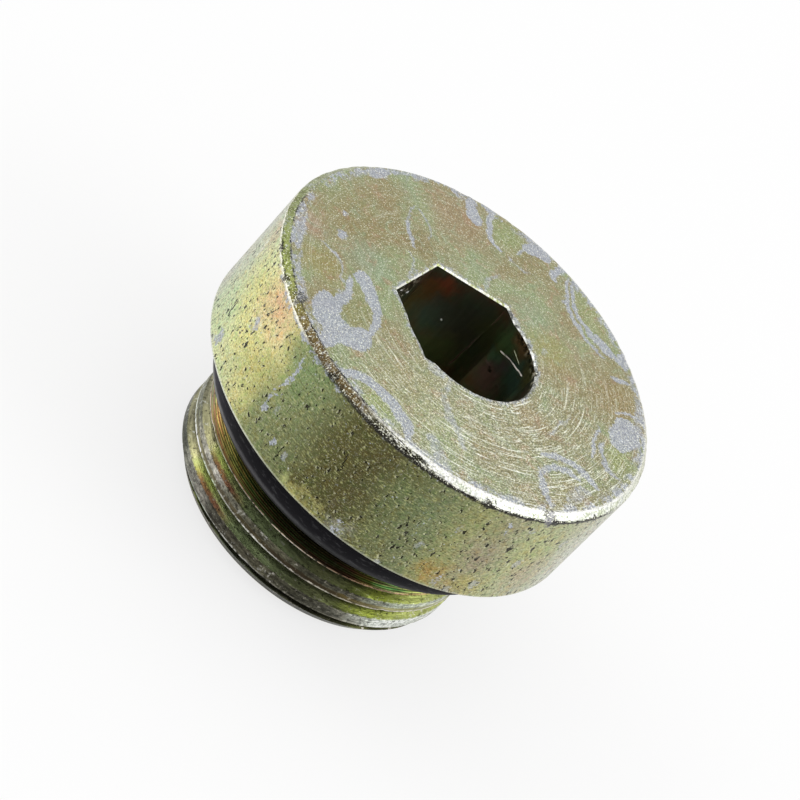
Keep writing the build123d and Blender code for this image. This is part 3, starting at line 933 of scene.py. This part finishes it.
def buildShankMaterial():
    # yellow-passivated zinc on a turned shank: rubbed crests, stained flanks and turning rings, with painted
    # shade from the head across the front
    finish = shankFinish
    material, add = newMaterial("yellowZincShank")
    at = measurePlace(add)
    place, z, radius, around, degrees = at["place"], at["z"], at["radius"], at["around"], at["degrees"]
    drift = add("TexNoise", {"Vector": place, "Scale": 0.6, "Detail": 3.0})
    drift = add("Math SUBTRACT", [drift, 0.5])
    turned = add("Math MULTIPLY_ADD", [drift, 24.0, degrees])
    share = add("MapRange", [turned, -180.0, 180.0])
    tones = {}
    for name in ("flank", "crest", "crestLow", "crestLast", "edge", "cone"):
        tones[name] = add("ValToRGB", [share], stops=byBearing(finish[name]))
    ragged = add("TexNoise", {"Vector": place, "Scale": 5.0, "Detail": 3.0, "Roughness": 0.65})
    ragged = add("Math SUBTRACT", [ragged, 0.5])
    grain = add("TexNoise", {"Vector": place, "Scale": 7.0, "Detail": 3.0, "Roughness": 0.75})

    # streaks along the turning direction
    flatter = add("VectorMath MULTIPLY", [place, (1, 1, 2.2)])
    fine = add("TexNoise", {"Vector": flatter, "Scale": 3.0, "Detail": 5.0, "Roughness": 0.75})
    swept = addSweep(add, around, 5.0, z, 7.0)
    streak = add("TexNoise", {"Vector": swept, "Scale": 1.0, "Detail": 3.0, "Roughness": 0.6})

    fleck = add("TexNoise", {"Vector": place, "Scale": 3.4, "Detail": 3.0, "Roughness": 0.7})

    # how far up the thread form a point is, in mm above the middle of its groove
    climb = add("Math DIVIDE", [degrees, 360 / plug["pitch"]])
    rise = add("Math SUBTRACT", [z, climb])
    rise = add("Math SUBTRACT", [rise, plug["grooveCentre"] - 4 * plug["pitch"]])
    rise = add("Math MODULO", [rise, plug["pitch"]])
    wobble = add("Math MULTIPLY_ADD", [ragged, 0.16, rise])
    colour = tones["flank"]
    band = add("MapRange", [wobble, 1.3, 1.2])
    toward = add("Math ADD", [degrees, 30.0])
    toward = add("Math ABSOLUTE", [toward])
    toward = add("MapRange", [toward, 14.0, 6.0, 0.0, 0.8])
    band = add("Math MULTIPLY", [band, toward])
    colour = add("Mix", {0: band, 6: colour, 7: finish["flankBand"]}, out=2, data_type="RGBA")
    upper = add("MapRange", [wobble, 1.13, 1.08])
    crest = add("MapRange", [fine, 0.36, 0.64, 0.3, 1.9])
    firstTurns = add("MapRange", [z, 1.9, 2.2])
    crestTone = add("Mix", {0: firstTurns, 6: tones["crestLast"], 7: tones["crest"]}, out=2, data_type="RGBA")
    crest = add("VectorMath SCALE", {0: crestTone, 3: crest})
    colour = add("Mix", {0: upper, 6: colour, 7: crest}, out=2, data_type="RGBA")
    lower = add("MapRange", [wobble, 0.76, 0.68])
    lower = add("Math MULTIPLY", [lower, firstTurns])
    colour = add("Mix", {0: lower, 6: colour, 7: tones["crestLow"]}, out=2, data_type="RGBA")
    # white line along the lower edge of each crest: painted highlight on a worn edge, broken by flecks and
    # faded at the front of the last turn
    wider = add("MapRange", [degrees, -22.0, -42.0, 0.0, -0.03])
    edge = add("Math MULTIPLY_ADD", [ragged, 0.16, rise])
    edge = add("Math ADD", [edge, wider])
    edge = add("MapRange", [edge, 0.5, 0.46])
    parts = add("MapRange", [fleck, 0.41, 0.53, 0.2, 0.9])
    edge = add("Math MULTIPLY", [edge, parts])
    faded = add("MapRange", [degrees, -15.0, 5.0, 0.0, 0.75])
    lastTurn = add("Math SUBTRACT", [1.0, firstTurns])
    faded = add("Math MULTIPLY", [faded, lastTurn])
    faded = add("Math SUBTRACT", [1.0, faded])
    edge = add("Math MULTIPLY", [edge, faded])
    colour = add("Mix", {0: edge, 6: colour, 7: tones["edge"]}, out=2, data_type="RGBA")
    # painted shade in the root of each groove, just under the crest's white line
    colour = addLayer(add, colour, "#2a241c", rise, 0.37, 0.34)

    # neck and shoulder cone above the first ridge
    firstRidge = 4.1
    above = add("Math SUBTRACT", [z, climb])
    front = add("MapRange", [degrees, -88.0, -68.0])
    cone = add("MapRange", [above, firstRidge - 0.04, firstRidge + 0.02])
    cone = add("Math MULTIPLY", [cone, front])
    slope = add("Math ADD", [radius, z])
    slope = add("MapRange", [slope, 13.1, 13.18])
    cone = add("Math MAXIMUM", [slope, cone])
    spread = add("Math MAXIMUM", [radius, plug["threadRadius"] + 0.1])
    spread = add("Math SUBTRACT", [spread, plug["threadRadius"] + 0.1])
    passed = add("Math MULTIPLY_ADD", [spread, -0.6, z])
    rings = add("Math MULTIPLY", [passed, math.tau / finish["ringPitch"]])
    rings = add("Math MULTIPLY_ADD", [streak, 6.0, rings])
    rings = add("Math SINE", [rings])
    rings = add("MapRange", [rings, -1.0, 1.0, 0.3, 1.7])
    hue = addSweep(add, around, 1.2, passed, 9.0)
    hue = add("TexNoise", {"Vector": hue, "Scale": 1.0, "Detail": 1.0})
    tintRing = add("ValToRGB", [hue], stops=[(0.36, "#ff9c90"), (0.45, "#ffc8a0"), (0.52, "#f0e0a0"),
                                             (0.58, "#c0e094"), (0.66, "#a0d8a0")])
    ringTone = add("Mix", {0: 0.75, 6: tones["cone"], 7: tintRing}, out=2, data_type="RGBA",
                   blend_type="MULTIPLY")
    coneColour = add("VectorMath SCALE", {0: ringTone, 3: rings})
    colour = add("Mix", {0: cone, 6: colour, 7: coneColour}, out=2, data_type="RGBA")
    ridge = add("Math MULTIPLY_ADD", [ragged, 0.12, above])
    ridge = addBand(add, ridge, firstRidge, 0.045, 0.015, 0.0, 0.5)
    uneven = add("MapRange", [fleck, 0.4, 0.52])
    ridge = add("Math MULTIPLY", [ridge, uneven])
    ridge = add("Math MULTIPLY", [ridge, front])
    rear = add("MapRange", [degrees, 140.0, 100.0])
    ridge = add("Math MULTIPLY", [ridge, rear])
    colour = add("Mix", {0: ridge, 6: colour, 7: "#b8977c"}, out=2, data_type="RGBA")

    # end chamfer
    end = add("Math MULTIPLY_ADD", [ragged, 0.1, z])
    colour = addLayer(add, colour, finish["end"], end, 0.98, 0.9, 0.85)

    # flat end: faint turning rings in the same film
    ringed = add("Math MULTIPLY", [radius, 4.0])
    ringed = add("CombineXYZ", {2: ringed})
    ringed = add("VectorMath ADD", [around, ringed])
    ringed = add("TexNoise", {"Vector": ringed, "Scale": 1.0, "Detail": 3.0, "Roughness": 0.6})
    endFilm = add("ValToRGB", [ringed], stops=[(0.34, "#77704a"), (0.45, "#9a9468"), (0.54, "#a3a27c"),
                                               (0.64, "#98a67e")])
    flatEnd = add("MapRange", [z, 0.04, 0.02])
    colour = add("Mix", {0: flatEnd, 6: colour, 7: endFilm}, out=2, data_type="RGBA")

    shade = add("MapRange", [streak, 0.3, 0.7, 0.5, 1.6])
    shade = add("Mix", {0: flatEnd, 2: shade, 3: 1.0}, data_type="FLOAT")
    colour = add("VectorMath SCALE", {0: colour, 3: shade})
    colour = addLayer(add, colour, "#2c2a20", fleck, 0.42, 0.34, 0.75)
    glint = add("MapRange", [fleck, 0.6, 0.68, 0.0, 0.5])
    below = add("Math SUBTRACT", [1.0, cone])
    glint = add("Math MULTIPLY", [glint, below])
    colour = add("Mix", {0: glint, 6: colour, 7: tones["edge"]}, out=2, data_type="RGBA")
    height = add("Math ADD", [grain, streak])
    addSurface(add, colour, 1.0, 0.38, height, 0.5, 0.04 * mm)
    return material


socketStains = {                # place and size in mm, colour, strength
    "orangeCorner": (-2.95, 3.25, 14.7, 0.55, "#d0785c", 0.9),
    "orangeArc": (-3.45, 3.05, 14.1, 0.55, "#bd8458", 0.7),
    "orangeLow": (-3.60, 2.95, 12.9, 0.9, "#a8875a", 0.6),
    "tealWall": (-2.3, 3.5, 12.6, 1.1, "#729094", 0.7),
    "darkWall": (-0.9, 4.1, 13.2, 1.5, "#74726c", 0.8),
    "oliveWall": (-0.9, 4.1, 10.8, 1.1, "#7e8a62", 0.7),
    "greenBand": (0.85, 4.25, 13.8, 1.1, "#84885e", 0.8),
    "greenDrill": (1.75, 3.70, 14.6, 0.8, "#86a872", 0.9),
    "orangeDrill": (2.35, 3.35, 15.3, 0.7, "#c29a6c", 0.9),
    "mauve": (2.1, 3.45, 12.2, 1.0, "#a27c80", 0.95),
    "greyDrill": (2.35, 3.35, 13.4, 0.6, "#8f8488", 0.9),
    "greenSpot": (1.55, 3.75, 13.3, 0.4, "#7ea48c", 0.8),
    "tealDrill": (3.3, 2.5, 13.7, 0.9, "#789c90", 0.9),
    "oliveDrill": (3.6, 2.1, 14.8, 0.6, "#9c9a68", 0.9),
}

socketScratches = {             # points along each, half width in mm, colour
    "broad": (((1.69, 3.71, 13.82), (2.33, 3.37, 14.01), (2.95, 2.88, 14.20), (3.42, 2.36, 14.43)), 0.042,
              "#fff4ec"),
    "narrow": (((2.21, 3.44, 14.57), (2.62, 3.15, 14.52), (2.90, 2.94, 14.50)), 0.022, "#dfe8c4"),
    "faint": (((1.44, 3.80, 12.70), (2.31, 3.38, 12.60), (3.00, 2.82, 12.55)), 0.022, "#8c7470"),
    "redEdge": (((0.40, 4.52, 15.2), (0.16, 4.50, 10.4)), 0.035, "#54302b"),
    "glintLow": (((-1.82, 3.70, 12.64), (-1.84, 3.70, 12.67)), 0.05, "#ffffff"),
    "glintHigh": (((-4.22, 1.25, 13.95), (-4.10, 1.60, 13.80)), 0.08, "#ffffff"),
    "glintCorner": (((-4.45, -0.60, 15.0), (-4.36, -0.20, 14.8)), 0.05, "#ffffff"),
}


def buildSocketMaterial():
    # plated walls of a deep broached hole: stained film that turns dark between the walls
    material, add = newMaterial("yellowZincSocket")
    at = measurePlace(add)
    place, z = at["place"], at["z"]
    warp = add("TexNoise", {"Vector": place, "Scale": 1.4, "Detail": 3.0}, out="Color")
    warp = add("VectorMath SUBTRACT", [warp, (0.5, 0.5, 0.5)])
    torn = add("VectorMath MULTIPLY_ADD", [warp, (1.2, 1.2, 1.2), place])
    stain = add("TexNoise", {"Vector": place, "Scale": 0.5, "Detail": 4.0, "Roughness": 0.6})
    film = add("ValToRGB", [stain], stops=[(0.34, "#94745f"), (0.44, "#85806a"), (0.54, "#7a8468"),
                                           (0.68, "#7c9478")])
    for x, y, height, size, colour, strength in socketStains.values():
        gap = add("VectorMath DISTANCE", [torn, (x, y, height)], out=1)
        film = addLayer(add, film, colour, gap, size * 1.5, size * 0.5, strength)
    drawn = add("VectorMath MULTIPLY", [place, (4, 4, 0.6)])
    drawn = add("TexNoise", {"Vector": drawn, "Scale": 1.0, "Detail": 3.0})
    shade = add("MapRange", [drawn, 0.3, 0.7, 0.88, 1.12])
    colour = add("VectorMath SCALE", {0: film, 3: shade})

    # torn metal just under the ragged part of the mouth, and near the mouth's left corner: light chips,
    # partly painted glints, and dark chips
    chips = add("TexNoise", {"Vector": place, "Scale": 3.5, "Detail": 3.0, "Roughness": 0.7})
    lip = add("MapRange", [z, 14.9, 15.4])
    ragged = add("VectorMath DOT_PRODUCT", [place, (0.8, 0.6, 0)], out=1)
    ragged = add("MapRange", [ragged, 3.4, 3.7])
    lip = add("Math MULTIPLY", [lip, ragged])
    corner = add("VectorMath DISTANCE", [place, (-4.3, 0.3, 14.9)], out=1)
    corner = add("MapRange", [corner, 1.9, 1.3])
    lip = add("Math MAXIMUM", [lip, corner])
    light = add("MapRange", [chips, 0.56, 0.64])
    light = add("Math MULTIPLY", [light, lip])
    colour = add("Mix", {0: light, 6: colour, 7: "#d8d2bc"}, out=2, data_type="RGBA")
    dark = add("MapRange", [chips, 0.5, 0.42, 0.0, 0.9])
    dark = add("Math MULTIPLY", [dark, lip])
    colour = add("Mix", {0: dark, 6: colour, 7: "#3c3a30"}, out=2, data_type="RGBA")
    spot = add("VectorMath DISTANCE", [torn, (1.95, 3.58, 12.48)], out=1)
    colour = addLayer(add, colour, "#2a2624", spot, 0.22, 0.14, 0.85)

    # scratches and painted glints, each a short line between two points of the wall; the bright scratches are
    # painted as catching the light
    near = add("VectorMath MULTIPLY_ADD", [warp, (0.14, 0.14, 0.14), place])
    metal = add("MapRange", [light, 0.0, 1.0, 1.0, 0.3])
    for line, half, tone in socketScratches.values():
        gap = 99.0
        for start, end in zip(line, line[1:]):
            reach = addSegmentGap(add, near, start, end)
            gap = add("Math MINIMUM", [reach, gap])
        mask = add("MapRange", [gap, half * 1.5, half * 0.6])
        colour = add("Mix", {0: mask, 6: colour, 7: tone}, out=2, data_type="RGBA")
        dull = add("Math SUBTRACT", [1.0, mask])
        metal = add("Math MULTIPLY", [metal, dull])
    addSurface(add, colour, metal, 0.36, chips, 0.4, 0.03 * mm)
    return material


rubberFinish = {
    # painted sheen and highlight line by degrees from the front: lighter on the left, darkest at the front in
    # the head's shade
    "sheen": [(-180, "#1a191e"), (-75, "#4e4f52"), (-55, "#403f44"), (-42, "#26252a"), (-30, "#171619"),
              (-15, "#100f13"), (20, "#0c0b0f"), (45, "#121116"), (90, "#1a191e"), (180, "#1a191e")],
    "line": [(-180, "#2c2c2e"), (-60, "#9c9c98"), (-42, "#7c7b7a"), (-28, "#4c4b4d"), (-8, "#454547"),
             (8, "#2a2a2b"), (30, "#262628"), (60, "#2c2c2e"), (180, "#2c2c2e")],
}


def buildRubberMaterial():
    # moulded nitrile rubber: near black, with a painted sheen that is lighter on the left and a painted
    # highlight line along its lower shoulder
    finish = rubberFinish
    material, add = newMaterial("nitrileRubber")
    at = measurePlace(add)
    place, z, radius, degrees = at["place"], at["z"], at["radius"], at["degrees"]
    share = add("MapRange", [degrees, -180.0, 180.0])
    tones = {}
    for name in ("sheen", "line"):
        tones[name] = add("ValToRGB", [share], stops=byBearing(finish[name]))
    dust = add("TexNoise", {"Vector": place, "Scale": 2.4, "Detail": 4.0, "Roughness": 0.7})
    down = add("Math SUBTRACT", [ring["height"], z])
    out = add("Math SUBTRACT", [radius, ring["radius"]])
    roll = add("Math ARCTAN2", [down, out])
    roll = add("Math MULTIPLY_ADD", [dust, 0.16, roll])
    # painted highlight line along the lower shoulder
    highlightBand = addBand(add, roll, 0.6, 0.2, 0.04)
    colour = add("Mix", {0: highlightBand, 6: tones["sheen"], 7: tones["line"]}, out=2, data_type="RGBA")
    flatter = add("VectorMath MULTIPLY", [place, (1, 1, 4)])
    scuff = add("TexNoise", {"Vector": flatter, "Scale": 1.6, "Detail": 4.0, "Roughness": 0.7})
    colour = addLayer(add, colour, "#5a5a5c", scuff, 0.56, 0.68, 0.35)
    rubber = addSurface(add, colour, 0.0, 0.6, dust, 0.3, 0.02 * mm)
    rubber.inputs["Specular IOR Level"].default_value = 0.10
    return material


markGroup = buildMarkGroup()
for material in (buildTopMaterial(), buildShankMaterial(), buildSocketMaterial(), buildSideMaterial()):
    plugBody.data.materials.append(material)
sealRing.data.materials.append(buildRubberMaterial())

centres = np.empty(len(plugBody.data.polygons) * 3)
plugBody.data.polygons.foreach_get("center", centres)
centres = centres.reshape(-1, 3) / mm
reach = np.hypot(centres[:, 0], centres[:, 1])
height = centres[:, 2]
finishAt = {"top": 0, "shank": 1, "socket": 2, "side": 3}
aboveShank = height > plug["headUnderside"] + 0.02
inSocket = (reach < plug["socketReach"]) & (height > plug["threadTop"])
inSocket = inSocket & (height < plug["headTop"] - plug["mouthBreak"])
onSide = (reach > plug["headRadius"] - 0.1) & aboveShank & (height < plug["headTop"] - plug["topChamfer"])
region = np.where(aboveShank, finishAt["top"], finishAt["shank"])
region = np.where(inSocket, finishAt["socket"], region)
region = np.where(onSide, finishAt["side"], region)
plugBody.data.polygons.foreach_set("material_index", region.astype(np.int32))
print("materials are built")

for piece in (plugBody, sealRing):
    deselectAll()
    piece.select_set(True)
    bpy.context.view_layer.objects.active = piece
    bpy.ops.object.shade_smooth_by_angle(angle=math.radians(38))


# floor, light and camera

def addSeen(add):                # 1 for the camera and for clear reflections, 0 for the light on the plug
    path = add("LightPath").node.outputs
    seen = add("Math MAXIMUM", [path["Is Camera Ray"], path["Is Glossy Ray"]])
    return add("Math MAXIMUM", [seen, path["Is Transmission Ray"]])


deselectAll()
bpy.ops.mesh.primitive_plane_add(size=3.0, location=(0, 0, -0.02 * mm))
floor = bpy.context.object
floor.name = "floor"
paper, add = newMaterial("whitePaper")
sheet = add("BsdfDiffuse", {"Color": (0.92, 0.92, 0.92, 1)})
glow = add("Emission", {"Color": (1, 1, 1, 1), "Strength": 1.0})
share = add("Math MULTIPLY", [addSeen(add), 0.72])
add("OutputMaterial", {"Surface": add("MixShader", [share, sheet, glow])})
floor.data.materials.append(paper)

world = bpy.data.worlds.new("studio")
bpy.context.scene.world = world
world.use_nodes = True
world.node_tree.nodes.clear()
add = partial(addNode, world.node_tree)
fill = add("Background", {"Color": (1, 1, 1, 1), "Strength": 0.9})
white = add("Background", {"Color": (1, 1, 1, 1), "Strength": 1.0})
add("OutputWorld", {"Surface": add("MixShader", [addSeen(add), fill, white])})

lamps = {
    "rightSoftbox": {"place": (0.45, 0.05, 0.30), "size": 0.30, "power": 0.6},
    "leftSoftbox": {"place": (-0.45, 0.00, 0.25), "size": 0.30, "power": 0.4},
}
for name, lamp in lamps.items():
    bpy.ops.object.light_add(type="AREA", location=lamp["place"])
    light = bpy.context.object
    light.name = name
    light.data.size = lamp["size"]
    light.data.energy = lamp["power"]
    light.rotation_euler = (Vector((0, 0, 0.008)) - Vector(lamp["place"])).to_track_quat("-Z", "Y").to_euler()

cameraView = {
    "place": (-0.000060, -0.165561, 0.120892),
    "right": (0.7248, 0.3859, 0.5707),
    "up": (-0.6890, 0.4037, 0.6020),
    "forward": (-0.0019, 0.8295, -0.5585),
    "lens": 165.513,
}
bpy.ops.object.camera_add(location=cameraView["place"])
camera = bpy.context.object
right, up, forward = (Vector(cameraView[name]) for name in ("right", "up", "forward"))
turn = Matrix((right, up, -forward)).transposed()
camera.rotation_euler = turn.to_euler()
camera.data.sensor_width = 36
camera.data.lens = cameraView["lens"]
camera.data.clip_start = 0.005
bpy.context.scene.camera = camera
bpy.context.scene.view_settings.view_transform = "Standard"
print("floor, light and camera are set")
